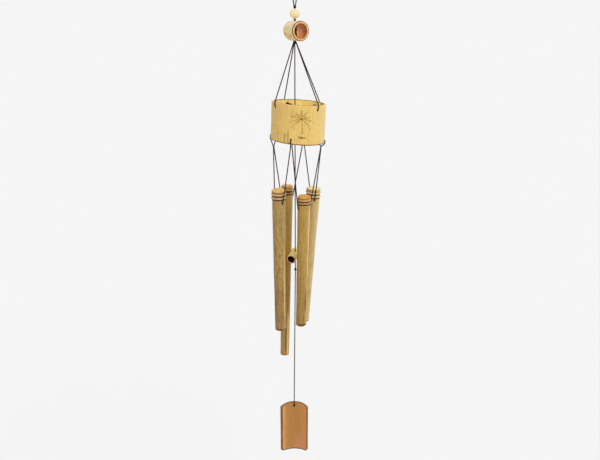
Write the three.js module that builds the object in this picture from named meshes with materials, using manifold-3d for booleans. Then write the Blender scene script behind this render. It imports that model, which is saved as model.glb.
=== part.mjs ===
// Bamboo wind chime that hangs from a cord loop.
// Millimetres. +Z is up, +X is to the right and -Y is the front.
// The origin is inside the crown of the hang loop, where a hook bears.

import * as THREE from "three";
import { mergeVertices } from "three/addons/utils/BufferGeometryUtils.js";
import Module from "manifold-3d";

const wasm = await Module();
wasm.setup();

// Cord, and the clearance that keeps neighbouring pieces apart
const CORD = 1.8;
const GAP = 0.35;
const CORD_SIDES = 8;
const CORD_CLEARANCE = CORD / 2 + GAP;
const CORD_HOLE = 3.2;
const BEND_REACH = 1.6;
const BEND_STEPS = 4;
const LONGEST_BEND_SHARE = 0.48;

// How far a cutting tool runs past the faces that it cuts, and the bevel on a sawn tube's edges
const OVERSHOOT = 3;
const CUT_EDGE = 0.5;

// Hang loop
const LOOP_KNOT_Z = -44.3;
const LOOP_KNOT_RADIUS = 2.2;
const LOOP_FOOT_Z = LOOP_KNOT_Z + LOOP_KNOT_RADIUS + GAP;
const LOOP_STEPS = 32;

// One side of the loop as [x, z], from its foot up to just below its crown
const LOOP_SIDE = [[1.2, LOOP_FOOT_Z], [2.2, LOOP_FOOT_Z + 7], [4.5, -20], [4.9, -9], [3.4, -1.8]];

// Bead threaded on the stem, and the small knot under it
const BEAD_Z = -53.6;
const BEAD_RADIUS = 7.35;
const BEAD_HALF_HEIGHT = 6.7;
const BEAD_BORE_RADIUS = 1.6;
const BEAD_ARC_STEPS = 10;
const BEAD_KNOT_RADIUS = 2.1;
const BEAD_KNOT_HALF_HEIGHT = 0.7;

// Toggle: a short tube worn across the stem
const TOGGLE = {
  centre: new THREE.Vector3(1.8, 0, -76.5),
  yaw: 29.5,
  dip: 0,
  length: 27.6,
  radius: 13.7,
  wall: 4.1,
  mouthDepth: 7,
  septum: 2.5,
  lowerHole: 6.4,
};

// Knot in the toggle's lower hole that the ring hangs from, and the one below it for the striker
const SUSPENSION_KNOT_RADIUS = 2.2;
const SUSPENSION_KNOT_Z = TOGGLE.centre.z - TOGGLE.radius + 1.6;
const STRIKER_TOP_KNOT_RADIUS = 1.6;
const STRIKER_TOP_KNOT_Z =
  SUSPENSION_KNOT_Z - SUSPENSION_KNOT_RADIUS - GAP - STRIKER_TOP_KNOT_RADIUS;
const STRAND_START_RADIUS = 2.5;
const STRAND_START_DROP = 2.7;

// Ring: a section of wide culm that hangs rolled, with ends sawn out of square.
// The roll and both slants lower its right side, in degrees.
const RING = {
  centre: new THREE.Vector3(4.7, 0, -204.4),
  roll: 2.6,
  topSlant: 0.9,
  bottomSlant: 2.2,
  radius: 40,
  wall: 6.5,
  height: 56,
  edge: 0.8,
};
const UPPER_HOLE_INSET = 6.2;
const STOPPER_KNOT_RADIUS = 2.1;

// Azimuths are measured from the front, positive to the right. A lower hole is an inset above
// the rim, and its cord's two legs cross at a drop below the rim.
const UPPER_HOLES = { left_front: -57.5, right_front: 42, right_back: 132, left_back: -148 };
const LOWER_HOLES = {
  left: { azimuth: -100, inset: 5, drop: 12 },
  front: { azimuth: -14, inset: 7, drop: 3 },
  right: { azimuth: 82, inset: 5, drop: 3.5 },
  back: { azimuth: 164, inset: 5, drop: 8 },
};
const LOOP_END_SPREAD = 1.2;
const STRAND_TOP_SPREAD = 1.5;
const STRAND_TOP_DROP = 1.4;
const STRAND_END_REACH = 1.75;
const CROSS_CORD_REACH = 0.4;

// Chime tubes: the axis runs from the centre of the closed top to the centre of the open end.
// A slant lowers the front of a face, in degrees. The cord hole lies between the two strands'
// tops, or as far round from there as its turn says.
const TUBE_WALL = 2.6;
const RIDGE_RISE = 0.5;
const RIDGE_FADE = 2.2;
const SEPTUM_BELOW_RIDGE = 3;
const BORE_ROUNDING = 2.5;
const TUBES = {
  front_left: {
    top: [-25, -11, -306], bottom: [-24, -11, -536.5], radius: 10.4, endRadius: 8.5,
    ridges: [5.5, 10.8], slant: 8, endSlant: 0,
    left: "left", right: "front", holeDepth: 18.5, holeTurn: 0,
  },
  front_right: {
    top: [13.4, -23, -312.5], bottom: [8.8, -23, -522], radius: 9.6, endRadius: 8.1,
    ridges: [4.5, 8.8], slant: 8, endSlant: 9,
    left: "front", right: "right", holeDepth: 18.5, holeTurn: 0,
  },
  back_right: {
    top: [28.4, 12.5, -308.8], bottom: [13.6, 12.5, -532], radius: 10.7, endRadius: 8.5,
    ridges: [6, 11.5], slant: 4, endSlant: 0,
    left: "back", right: "right", holeDepth: 16.5, holeTurn: -20,
  },
  back_left: {
    top: [-12.2, 21, -306.5], bottom: [-18.2, 21, -598.5], radius: 9, endRadius: 7.3,
    ridges: [6, 10.5], slant: 0, endSlant: 0,
    left: "left", right: "back", holeDepth: 19.5, holeTurn: 0,
  },
};

// Striker: a short tube worn across its cord, open at the front
const STRIKER = {
  centre: new THREE.Vector3(-2.5, -0.3, -414),
  yaw: -17,
  dip: 8.5,
  length: 28.5,
  radius: 7.2,
  wall: 1.6,
  septum: 3,
  lowerHole: CORD_HOLE,
};
const STRIKER_INNER_KNOT_RADIUS = 2;
const STRIKER_INNER_KNOT_HALF_HEIGHT = 1.2;
const STRIKER_KNOT_Z = -437.8;
const STRIKER_KNOT_RADIUS = 2;

// Sail: a split plate of culm, hollow side to the front
const SAIL = {
  x: -2.5,
  top: -681.6,
  height: 92.2,
  radius: 40,
  wall: 5.5,
  width: 47.5,
  crown: 6,
  bottomCorner: 1.2,
};
const SAIL_CROWN_STEPS = 12;
const SAIL_HOLE_INSET = 4.6;
const SAIL_HITCH_RISE = 4;
const SAIL_KNOT_RADIUS = 2;

// Colours
const CORD_COLOUR = "#5c5350";
const KNOT_COLOUR = "#38302c";
const RING_COLOUR = "#e3c06c";
const TOGGLE_COLOUR = "#dcc58a";
const BEAD_COLOUR = "#ecdcaf";
const STRIKER_COLOUR = "#dcc283";
const SAIL_COLOUR = "#b98246";
const TUBE_COLOURS = {
  front_left: "#a98a4e", front_right: "#ae8a3e", back_right: "#c2a468", back_left: "#b39345",
};

const object = new THREE.Group();

function add(name, geometry, colour, roughness = 0.55) {
  const material = new THREE.MeshStandardMaterial({ color: colour, roughness, metalness: 0 });
  const mesh = new THREE.Mesh(geometry, material);
  mesh.name = name;
  object.add(mesh);
  return mesh;
}

// ---- Solids ----

function solid(geometry) {
  const bare = geometry.clone();
  bare.deleteAttribute("normal");
  bare.deleteAttribute("uv");
  const merged = mergeVertices(bare, 1e-4);
  const vertProperties = new Float32Array(merged.attributes.position.array);
  const triVerts = new Uint32Array(merged.index.array);
  return new wasm.Manifold(new wasm.Mesh({ numProp: 3, vertProperties, triVerts }));
}

function geometryOf(manifold) {
  const mesh = manifold.getMesh();
  const geometry = new THREE.BufferGeometry();
  geometry.setAttribute("position", new THREE.BufferAttribute(mesh.vertProperties, 3));
  geometry.setIndex(new THREE.BufferAttribute(mesh.triVerts, 1));
  geometry.computeVertexNormals();
  return geometry;
}

// A solid of revolution about Z from [radius, z] points
function turned(profile, segments) {
  const points = profile.map(([radius, z]) => new THREE.Vector2(radius, z));
  return new THREE.LatheGeometry(points, segments).rotateX(Math.PI / 2);
}

// A round pin from one point to another, to cut a hole with
function pin(from, to, diameter) {
  const along = to.clone().sub(from);
  const geometry = new THREE.CylinderGeometry(diameter / 2, diameter / 2, along.length(), 12);
  const turn = new THREE.Quaternion().setFromUnitVectors(
    new THREE.Vector3(0, 1, 0),
    along.clone().normalize(),
  );
  geometry.applyQuaternion(turn);
  const middle = from.clone().lerp(to, 0.5);
  return geometry.translate(middle.x, middle.y, middle.z);
}

function drilled(geometry, ...pins) {
  return geometryOf(pins.reduce((body, hole) => body.subtract(solid(hole)), solid(geometry)));
}

// ---- Cords ----

// A path whose steps are its own points, so that a straight leg takes a single step
class CordPath extends THREE.Curve {
  constructor(points) {
    super();
    this.points = points;
  }

  getPoint(t) {
    const at = t * (this.points.length - 1);
    const first = Math.min(Math.floor(at), this.points.length - 2);
    return this.points[first].clone().lerp(this.points[first + 1], at - first);
  }

  getPointAt(u) {
    return this.getPoint(u);
  }

  getTangentAt(u) {
    const last = this.points.length - 1;
    const at = Math.round(u * last);
    const tangent = new THREE.Vector3();
    for (const [from, to] of [[at - 1, at], [at, at + 1]]) {
      if (from >= 0 && to <= last) {
        tangent.add(this.points[to].clone().sub(this.points[from]).normalize());
      }
    }
    return tangent.normalize();
  }
}

// The corners' points, with each inner corner rounded off
function rounded(corners) {
  const bendPoint = (corner, neighbour) => {
    const leg = neighbour.clone().sub(corner);
    return leg.setLength(Math.min(BEND_REACH, leg.length() * LONGEST_BEND_SHARE)).add(corner);
  };
  const points = [corners[0]];
  for (let i = 1; i < corners.length - 1; i += 1) {
    const start = bendPoint(corners[i], corners[i - 1]);
    const end = bendPoint(corners[i], corners[i + 1]);
    const bend = new THREE.QuadraticBezierCurve3(start, corners[i], end);
    points.push(...bend.getPoints(BEND_STEPS));
  }
  points.push(corners.at(-1));
  return points;
}

function cordAlong(points) {
  const section = new THREE.Shape();
  for (let side = 0; side < CORD_SIDES; side += 1) {
    const angle = (2 * Math.PI * side) / CORD_SIDES;
    const corner = [(Math.cos(angle) * CORD) / 2, (Math.sin(angle) * CORD) / 2];
    if (side === 0) {
      section.moveTo(...corner);
    } else {
      section.lineTo(...corner);
    }
  }
  section.closePath();
  return new THREE.ExtrudeGeometry(section, {
    steps: points.length - 1,
    bevelEnabled: false,
    extrudePath: new CordPath(points),
  });
}

function addCord(name, points) {
  add(name, cordAlong(points), CORD_COLOUR, 0.9);
}

function addKnot(name, centre, radius) {
  const knot = new THREE.IcosahedronGeometry(radius, 1);
  add(name, knot, KNOT_COLOUR, 0.95).position.copy(centre);
}

// A knot tied round a cord that carries on through it
function addCollarKnot(name, centre, radius, halfHeight) {
  const inner = CORD_CLEARANCE;
  const middle = (inner + radius) / 2;
  const profile = [
    [inner, -halfHeight / 2], [middle, -halfHeight], [radius, -halfHeight / 2],
    [radius, halfHeight / 2], [middle, halfHeight], [inner, halfHeight / 2],
    [inner, -halfHeight / 2],
  ];
  add(name, turned(profile, 12), KNOT_COLOUR, 0.95).position.copy(centre);
}

// ---- Hang loop, bead and stem ----

function addHangLoop() {
  const right = LOOP_SIDE.map(([x, z]) => new THREE.Vector3(x, 0, z));
  const left = LOOP_SIDE.map(([x, z]) => new THREE.Vector3(-x, 0, z)).reverse();
  const crown = new THREE.Vector3(0, 0, CORD / 2);
  const curve = new THREE.CatmullRomCurve3([...right, crown, ...left], false, "centripetal");
  addCord("hang_loop", curve.getSpacedPoints(LOOP_STEPS));
}

function addStem() {
  addKnot("loop_knot", new THREE.Vector3(0, 0, LOOP_KNOT_Z), LOOP_KNOT_RADIUS);

  const profile = [];
  const start = Math.asin(BEAD_BORE_RADIUS / BEAD_RADIUS);
  for (let i = 0; i <= BEAD_ARC_STEPS; i += 1) {
    const angle = start + ((Math.PI - 2 * start) * i) / BEAD_ARC_STEPS;
    profile.push([BEAD_RADIUS * Math.sin(angle), -BEAD_HALF_HEIGHT * Math.cos(angle)]);
  }
  profile.push(profile[0]);
  add("bead", turned(profile, 24), BEAD_COLOUR, 0.5).position.z = BEAD_Z;

  const toggleTop = TOGGLE.centre.z + TOGGLE.radius;
  const knotZ = (BEAD_Z - BEAD_HALF_HEIGHT + toggleTop) / 2;
  addCollarKnot(
    "bead_knot", new THREE.Vector3(0, 0, knotZ), BEAD_KNOT_RADIUS, BEAD_KNOT_HALF_HEIGHT);

  addCord("stem_cord", [
    new THREE.Vector3(0, 0, LOOP_KNOT_Z - LOOP_KNOT_RADIUS - GAP),
    new THREE.Vector3(0, 0, SUSPENSION_KNOT_Z + SUSPENSION_KNOT_RADIUS + GAP),
  ]);
}

// A tube lying across a vertical cord at X = Y = 0. Its front mouth is open as far as the septum,
// and behind the septum it is open too unless the rear is closed.
function crossTube(spec, segments) {
  const { centre, yaw, dip, length, radius, wall, mouthDepth, septum, lowerHole } = spec;
  const half = length / 2;
  const bore = radius - wall;
  const inside =
    mouthDepth === undefined
      ? [[bore, -half], [bore, half - septum], [0, half - septum]]
      : [[bore, -half], [bore, -half + mouthDepth], [0, -half + mouthDepth]];
  const outer = [
    [0, half], [radius - CUT_EDGE, half], [radius, half - CUT_EDGE],
    [radius, -half + CUT_EDGE], [radius - CUT_EDGE, -half],
  ];
  const body = turned([...outer, ...inside].reverse(), segments).rotateX(-Math.PI / 2);
  const place = new THREE.Matrix4().makeRotationFromEuler(
    new THREE.Euler(
      THREE.MathUtils.degToRad(dip), 0, THREE.MathUtils.degToRad(yaw), "ZXY"));
  place.setPosition(centre);
  let made = body.applyMatrix4(place);
  if (mouthDepth !== undefined) {
    const rear = length - mouthDepth - septum;
    const bored = new THREE.CylinderGeometry(bore, bore, rear + OVERSHOOT, segments);
    bored.translate(0, half - rear / 2 + OVERSHOOT / 2, 0).applyMatrix4(place);
    made = geometryOf(solid(made).subtract(solid(bored)));
  }
  const above = new THREE.Vector3(0, 0, centre.z + 2 * radius);
  const middle = new THREE.Vector3(0, 0, centre.z);
  const below = new THREE.Vector3(0, 0, centre.z - 2 * radius);
  return drilled(made, pin(middle, above, CORD_HOLE), pin(below, middle, lowerHole));
}

// ---- Ring and what ties it ----

const ringPlace = new THREE.Matrix4().makeRotationY(THREE.MathUtils.degToRad(RING.roll));
ringPlace.setPosition(RING.centre);

function ringPoint(azimuth, radius, height) {
  const angle = THREE.MathUtils.degToRad(azimuth);
  const point = new THREE.Vector3(radius * Math.sin(angle), -radius * Math.cos(angle), height);
  return point.applyMatrix4(ringPlace);
}

const ringInner = RING.radius - RING.wall;
const topSlope = Math.tan(THREE.MathUtils.degToRad(RING.topSlant));
const bottomSlope = Math.tan(THREE.MathUtils.degToRad(RING.bottomSlant));

// The heights of the rims at an azimuth
function topRim(azimuth) {
  return RING.height / 2 - topSlope * RING.radius * Math.sin(THREE.MathUtils.degToRad(azimuth));
}

function bottomRim(azimuth) {
  return -RING.height / 2 - bottomSlope * RING.radius * Math.sin(THREE.MathUtils.degToRad(azimuth));
}

function addRing() {
  const half = RING.height / 2;
  const { radius, edge } = RING;
  const profile = [
    [ringInner, -half], [radius - edge, -half], [radius, -half + edge],
    [radius, half - edge], [radius - edge, half], [ringInner, half], [ringInner, -half],
  ];
  const culm = turned(profile, 48);
  const position = culm.attributes.position;
  for (let i = 0; i < position.count; i += 1) {
    const slope = position.getZ(i) > 0 ? topSlope : bottomSlope;
    position.setZ(i, position.getZ(i) - slope * position.getX(i));
  }
  culm.applyMatrix4(ringPlace);

  const holeThrough = (azimuth, height) => pin(
    ringPoint(azimuth, ringInner - OVERSHOOT, height),
    ringPoint(azimuth, radius + OVERSHOOT, height), CORD_HOLE);
  const pins = [
    ...Object.values(UPPER_HOLES).map(
      (azimuth) => holeThrough(azimuth, topRim(azimuth) - UPPER_HOLE_INSET)),
    ...Object.values(LOWER_HOLES).map(
      ({ azimuth, inset }) => holeThrough(azimuth, bottomRim(azimuth) + inset)),
  ];
  add("ring", drilled(culm, ...pins), RING_COLOUR, 0.45);
}

// Each strand fans out over the rim, comes down outside and goes in through its hole to its knot
function addSuspensionStrands() {
  for (const [name, azimuth] of Object.entries(UPPER_HOLES)) {
    const outside = RING.radius + CORD_CLEARANCE;
    const holeHeight = topRim(azimuth) - UPPER_HOLE_INSET;
    const rim = ringPoint(azimuth, outside, topRim(azimuth));
    const outward = new THREE.Vector3(rim.x, rim.y, 0).normalize();
    const start = outward.multiplyScalar(STRAND_START_RADIUS);
    start.z = SUSPENSION_KNOT_Z - STRAND_START_DROP;
    addCord(`suspension_strand_${name}`, rounded([
      start,
      rim,
      ringPoint(azimuth, outside, holeHeight),
      ringPoint(azimuth, ringInner + GAP, holeHeight),
    ]));
    addKnot(
      `stopper_knot_${name}`,
      ringPoint(azimuth, ringInner - GAP - STOPPER_KNOT_RADIUS, holeHeight),
      STOPPER_KNOT_RADIUS);
  }
}

// Where each loop's two legs come together below the bottom rim
function crossing({ azimuth, drop }) {
  return ringPoint(azimuth, RING.radius - RING.wall / 2, bottomRim(azimuth) - drop);
}

// A loop from below the rim, up outside, in through the lower hole and down inside
function addRingLoops() {
  for (const [name, hole] of Object.entries(LOWER_HOLES)) {
    const { azimuth, inset, drop } = hole;
    const outside = RING.radius + CORD_CLEARANCE;
    const inside = ringInner - CORD_CLEARANCE;
    const middle = RING.radius - RING.wall / 2;
    const rim = bottomRim(azimuth);
    const foot = rim - drop;
    addCord(`ring_loop_${name}`, rounded([
      ringPoint(azimuth, middle + LOOP_END_SPREAD, foot),
      ringPoint(azimuth, outside, rim - CORD_CLEARANCE),
      ringPoint(azimuth, outside, rim + inset),
      ringPoint(azimuth, inside, rim + inset),
      ringPoint(azimuth, inside, rim - CORD_CLEARANCE),
      ringPoint(azimuth, middle - LOOP_END_SPREAD, foot),
    ]));
  }
}

// ---- Chime tubes ----

// Everything that a tube's parts need: its axis, its cord holes and the tops of its two strands
function tubeLayout(tube) {
  const top = new THREE.Vector3(...tube.top);
  const bottom = new THREE.Vector3(...tube.bottom);
  const down = bottom.clone().sub(top).normalize();
  const left = crossing(LOWER_HOLES[tube.left]);
  const right = crossing(LOWER_HOLES[tube.right]);
  const across = right.clone().sub(left).setZ(0).normalize();
  const leftTop = left.clone().addScaledVector(across, STRAND_TOP_SPREAD);
  const rightTop = right.clone().addScaledVector(across, -STRAND_TOP_SPREAD);
  leftTop.z -= STRAND_TOP_DROP;
  rightTop.z -= STRAND_TOP_DROP;
  const holeAxis = across.clone()
    .applyAxisAngle(new THREE.Vector3(0, 0, 1), THREE.MathUtils.degToRad(tube.holeTurn));
  holeAxis.addScaledVector(down, -holeAxis.dot(down)).normalize();
  const holeCentre = top.clone().addScaledVector(down, tube.holeDepth);
  return { top, bottom, down, leftTop, rightTop, holeAxis, holeCentre };
}

function addTube(name, tube) {
  const { top, bottom, down, leftTop, rightTop, holeAxis, holeCentre } = tubeLayout(tube);
  const { radius, endRadius, ridges } = tube;
  const length = top.distanceTo(bottom);
  const [upperRidge, lowerRidge] = ridges;
  const ridge = radius + RIDGE_RISE;
  const waist = radius - RIDGE_RISE;
  const bore = radius - TUBE_WALL - RIDGE_RISE;
  const septum = lowerRidge + SEPTUM_BELOW_RIDGE;
  const profile = [
    [0, 0], [radius - CUT_EDGE, 0], [radius, -CUT_EDGE], [radius, -upperRidge + RIDGE_FADE],
    [ridge, -upperRidge], [waist, -(upperRidge + lowerRidge) / 2], [ridge, -lowerRidge],
    [waist, -lowerRidge - RIDGE_FADE], [endRadius, -length + CUT_EDGE],
    [endRadius - CUT_EDGE, -length], [endRadius - TUBE_WALL, -length],
    [bore, -septum - BORE_ROUNDING], [bore - BORE_ROUNDING, -septum], [0, -septum],
  ];
  const geometry = turned(profile.reverse(), 24);
  slantEnd(geometry, 0, tube.slant, septum);
  slantEnd(geometry, -length, tube.endSlant, CUT_EDGE);
  const turn = new THREE.Quaternion().setFromUnitVectors(
    new THREE.Vector3(0, 0, -1), down);
  geometry.applyQuaternion(turn).translate(top.x, top.y, top.z);

  const reach = holeAxis.clone().multiplyScalar(radius + OVERSHOOT);
  const hole = pin(holeCentre.clone().sub(reach), holeCentre.clone().add(reach), CORD_HOLE);
  add(`chime_${name}`, drilled(geometry, hole), TUBE_COLOURS[name], 0.5);

  const inHole = holeAxis.clone().multiplyScalar(radius + CROSS_CORD_REACH);
  addCord(`cross_cord_${name}`, [
    holeCentre.clone().sub(inHole),
    holeCentre.clone().add(inHole),
  ]);
  const ends = { left: [leftTop, -1], right: [rightTop, 1] };
  for (const [side, [strandTop, sign]] of Object.entries(ends)) {
    const end = holeCentre.clone().addScaledVector(holeAxis, sign * (radius + STRAND_END_REACH));
    addCord(`strand_${name}_${side}`, [strandTop, end]);
  }
}

// Tilts an upright tube's end, as far in as the reach, so that its front edge is the lower one
function slantEnd(geometry, height, degrees, reach) {
  const slope = Math.tan(THREE.MathUtils.degToRad(degrees));
  const position = geometry.attributes.position;
  for (let i = 0; i < position.count; i += 1) {
    if (Math.abs(position.getZ(i) - height) <= reach + CUT_EDGE) {
      position.setZ(i, position.getZ(i) + slope * position.getY(i));
    }
  }
}

// ---- Striker and sail ----

function addStriker() {
  addKnot(
    "striker_top_knot", new THREE.Vector3(0, 0, STRIKER_TOP_KNOT_Z), STRIKER_TOP_KNOT_RADIUS);
  addCord("striker_cord", [
    new THREE.Vector3(0, 0, STRIKER_TOP_KNOT_Z - STRIKER_TOP_KNOT_RADIUS - GAP),
    new THREE.Vector3(0, 0, STRIKER_KNOT_Z + STRIKER_KNOT_RADIUS + GAP),
  ]);
  add("striker", crossTube(STRIKER, 24), STRIKER_COLOUR, 0.5);
  addCollarKnot(
    "striker_inner_knot", new THREE.Vector3(0, 0, STRIKER.centre.z),
    STRIKER_INNER_KNOT_RADIUS, STRIKER_INNER_KNOT_HALF_HEIGHT);
  addKnot("striker_knot", new THREE.Vector3(0, 0, STRIKER_KNOT_Z), STRIKER_KNOT_RADIUS);
}

function sailPlate() {
  const outer = SAIL.radius;
  const inner = outer - SAIL.wall;
  const half = Math.asin(SAIL.width / (2 * outer));
  const start = Math.PI / 2 - half;
  const end = Math.PI / 2 + half;
  const section = new THREE.Shape();
  section.absarc(0, 0, outer, start, end, false);
  section.absarc(0, 0, inner, end, start, true);
  section.closePath();
  const plate = new THREE.ExtrudeGeometry(section, {
    depth: SAIL.height, bevelEnabled: false, curveSegments: 16,
  });
  plate.translate(SAIL.x, CORD_CLEARANCE - inner, SAIL.top - SAIL.height);

  const side = SAIL.width / 2;
  const { height, crown, bottomCorner } = SAIL;
  const outline = new THREE.Shape();
  outline.moveTo(-side + bottomCorner, 0);
  outline.lineTo(side - bottomCorner, 0);
  outline.lineTo(side, bottomCorner);
  for (let step = SAIL_CROWN_STEPS; step >= -SAIL_CROWN_STEPS; step -= 1) {
    const share = step / SAIL_CROWN_STEPS;
    outline.lineTo(share * side, height - crown * Math.abs(share) ** 3);
  }
  outline.lineTo(-side, bottomCorner);
  outline.closePath();
  const depth = 4 * SAIL.wall;
  const cutter = new THREE.ExtrudeGeometry(outline, {
    depth, bevelEnabled: false,
  });
  cutter.rotateX(Math.PI / 2).translate(SAIL.x, depth / 2 + 2, SAIL.top - SAIL.height);
  return geometryOf(solid(plate).intersect(solid(cutter)));
}

function addSail() {
  const holeZ = SAIL.top - SAIL_HOLE_INSET;
  const back = CORD_CLEARANCE + SAIL.wall;
  const hole = pin(
    new THREE.Vector3(SAIL.x, -OVERSHOOT, holeZ),
    new THREE.Vector3(SAIL.x, back + OVERSHOOT, holeZ), CORD_HOLE);
  add("sail", drilled(sailPlate(), hole), SAIL_COLOUR, 0.5);

  const hitch = new THREE.Vector3(SAIL.x, 0, SAIL.top + SAIL_HITCH_RISE);
  addCord("sail_cord", [
    new THREE.Vector3(0, 0, STRIKER_KNOT_Z - STRIKER_KNOT_RADIUS - GAP),
    hitch.clone().setZ(hitch.z + GAP),
  ]);
  addCord("sail_hitch", rounded([
    hitch,
    new THREE.Vector3(SAIL.x, 0, holeZ),
    new THREE.Vector3(SAIL.x, back, holeZ),
  ]));
  addKnot(
    "sail_knot", new THREE.Vector3(SAIL.x, back + GAP + SAIL_KNOT_RADIUS, holeZ),
    SAIL_KNOT_RADIUS);
}

addHangLoop();
addStem();
add("toggle", crossTube(TOGGLE, 32), TOGGLE_COLOUR, 0.5);
addKnot(
  "suspension_knot", new THREE.Vector3(0, 0, SUSPENSION_KNOT_Z), SUSPENSION_KNOT_RADIUS);
addRing();
addSuspensionStrands();
addRingLoops();
for (const [name, tube] of Object.entries(TUBES)) {
  addTube(name, tube);
}
addStriker();
addSail();

export default object;
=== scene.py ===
"""Bamboo wind chime: detailed bamboo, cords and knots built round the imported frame.

Lengths are in millimetres until a mesh is made, and +Z is up, +X right and -Y the front.
"""

import math
import random

import bpy
import numpy as np
from mathutils import Matrix, Vector, noise


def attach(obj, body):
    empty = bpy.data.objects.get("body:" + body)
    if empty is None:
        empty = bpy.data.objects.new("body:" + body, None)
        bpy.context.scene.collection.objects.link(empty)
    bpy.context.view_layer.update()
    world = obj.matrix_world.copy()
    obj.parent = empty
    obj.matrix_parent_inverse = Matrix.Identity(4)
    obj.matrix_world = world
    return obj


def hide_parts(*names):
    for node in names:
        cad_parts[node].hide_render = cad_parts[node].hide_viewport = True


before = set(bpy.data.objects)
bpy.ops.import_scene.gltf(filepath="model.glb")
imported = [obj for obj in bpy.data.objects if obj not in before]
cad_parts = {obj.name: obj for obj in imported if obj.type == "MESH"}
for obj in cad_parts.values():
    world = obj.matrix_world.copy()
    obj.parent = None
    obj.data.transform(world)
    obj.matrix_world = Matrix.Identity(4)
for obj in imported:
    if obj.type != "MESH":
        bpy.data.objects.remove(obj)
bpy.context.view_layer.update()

MM = 0.001
RANDOM = random.Random(7)

# ---- Camera, light and floor ----

CAMERA_AT = (0, -961, -62)
CAMERA_DOWN = 17.9
CAMERA_RIGHT = 0.44
CAMERA_LENS = 39
CAMERA_SENSOR = 36
# Each sun's name, elevation, azimuth, power and spread
SUNS = (("key", 48, 40, 1.5, 35), ("fill", 35, -50, 0.45, 60), ("rim", 40, 170, 0.5, 50))
SKY_GREY = 0.913
SKY_LIGHT = 0.65
FLOOR_GREY = 0.807
# In metres
FLOOR_REACH = 200.0
FLOOR_LEVEL = -1.3

# ---- Driving dimensions: the CAD part's, and finer ones that only show here ----

CORD = 1.8
GAP = 0.35
CORD_CLEARANCE = CORD / 2 + GAP
CORD_HOLE = 3.2
TIGHTEST_BEND = 2.05 * CORD
CORD_STEP = 0.5
LONG_CORD_STEP = 0.6
YARNS = 3
YARN_POINTS = 4
YARN_VALLEY = 0.24
LAY_LENGTH = 5.2

LOOP_KNOT_Z = -44.3
LOOP_KNOT_RADIUS = 2.4
LOOP_SIDE = [(1.2, -41.75), (2.2, -34.75), (4.5, -20), (4.9, -9), (3.4, -1.8)]

BEAD_Z = -53.6
BEAD_RADIUS = 7.35
BEAD_HALF_HEIGHT = 6.7
BEAD_BORE_RADIUS = 1.6
BEAD_GRAIN_TILT = 63
BEAD_KNOT_Z = -61.55
BEAD_KNOT_RADIUS = 1.8

TOGGLE = dict(centre=(1.8, 0, -76.5), yaw=29.5, dip=0, length=27.6, radius=13.7, wall=4.1)
TOGGLE_MOUTH_DEPTH = 7
TOGGLE_SEPTUM = 2.5
TOGGLE_LOWER_HOLE = 6.4

SUSPENSION_KNOT_Z = -88.6
SUSPENSION_KNOT_RADIUS = 1.9
STRIKER_TOP_KNOT_Z = -92.75
STRIKER_TOP_KNOT_RADIUS = 1.8

RING_CENTRE = (4.7, 0, -204.4)
RING_ROLL = 2.6
RING_TOP_SLOPE = math.tan(math.radians(0.9))
RING_BOTTOM_SLOPE = math.tan(math.radians(2.2))
RING_RADIUS = 40
RING_WALL = 6.5
RING_HEIGHT = 56
RING_EDGE = 0.8
RING_INNER = RING_RADIUS - RING_WALL
RING_UNEVENNESS = 0.45
RING_SEED = 1
UPPER_HOLE_INSET = 6.2
STOPPER_KNOT_RADIUS = 2.1
STOPPER_KNOT_SWELL = 0.3
TAIL_LENGTH = 6
UPPER_HOLES = dict(left_front=-57.5, right_front=42, right_back=132, left_back=-148)
# Each lower hole's azimuth, height above the rim, and its cord legs' crossing below the rim
LOWER_HOLES = dict(left=(-100, 5, 12), front=(-14, 7, 3), right=(82, 5, 3.5), back=(164, 5, 8))
# Where a strand leaves the suspension knot: outward, then further outward and down
FAN_START = 0.7
FAN_OUT = 1.6
FAN_DOWN = 2.2
STRAND_TOP_SPREAD = 1.5
STRAND_TOP_DROP = 1.4

PALM_AZIMUTH = 6
PALM_CROWN = 9
PALM_FROND = 15.5
PALM_FROND_TILTS = (-30, 2, 32, 62, 92, 124, 152, 180, 208)
PALM_DROOP = 4.5
PALM_TRUNK = 21
PALM_LIFT = 0.07
PALM_STEPS = 9
PALM_STROKES = dict(frond=0.8, leaflet=0.65, trunk=1.3, ground=1.9)

TUBE_WALL = 2.6
TUBES = dict(
    front_left=dict(
        top=(-25, -11, -306), bottom=(-24, -11, -536.5), radii=(10.4, 8.5), ridges=(5.5, 10.8),
        slants=(8, 0), holes=("left", "front"), hole_depth=18.5, hole_turn=0),
    front_right=dict(
        top=(13.4, -23, -312.5), bottom=(8.8, -23, -522), radii=(9.6, 8.1), ridges=(4.5, 8.8),
        slants=(8, 9), holes=("front", "right"), hole_depth=18.5, hole_turn=0),
    back_right=dict(
        top=(28.4, 12.5, -308.8), bottom=(13.6, 12.5, -532), radii=(10.7, 8.5), ridges=(6, 11.5),
        slants=(4, 0), holes=("back", "right"), hole_depth=16.5, hole_turn=-20),
    back_left=dict(
        top=(-12.2, 21, -306.5), bottom=(-18.2, 21, -598.5), radii=(9, 7.3), ridges=(6, 10.5),
        slants=(0, 0), holes=("left", "back"), hole_depth=19.5, hole_turn=0),
)
FIRST_TUBE_SEED = 11
TUBE_UNEVENNESS = 0.4
# For a tube's upper and lower ridge: its height, and the depth, place below it and width of its scar
NODE_RIDGES = ((1.15, 0.5, 2.2, 0.9), (1.25, 0.5, 2.1, 0.8))
NODE_WAIST = (0.25, 1.6)
NODE_STEP = 0.35
NODE_CLEARANCE = 5
SHAFT_STEP = 3.2
SEPTUM_BELOW_NODE = 3
TOP_SLANT_FADE = 60
END_SLANT_FADE = 9
FOOT_FALL = (60, 200)

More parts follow.
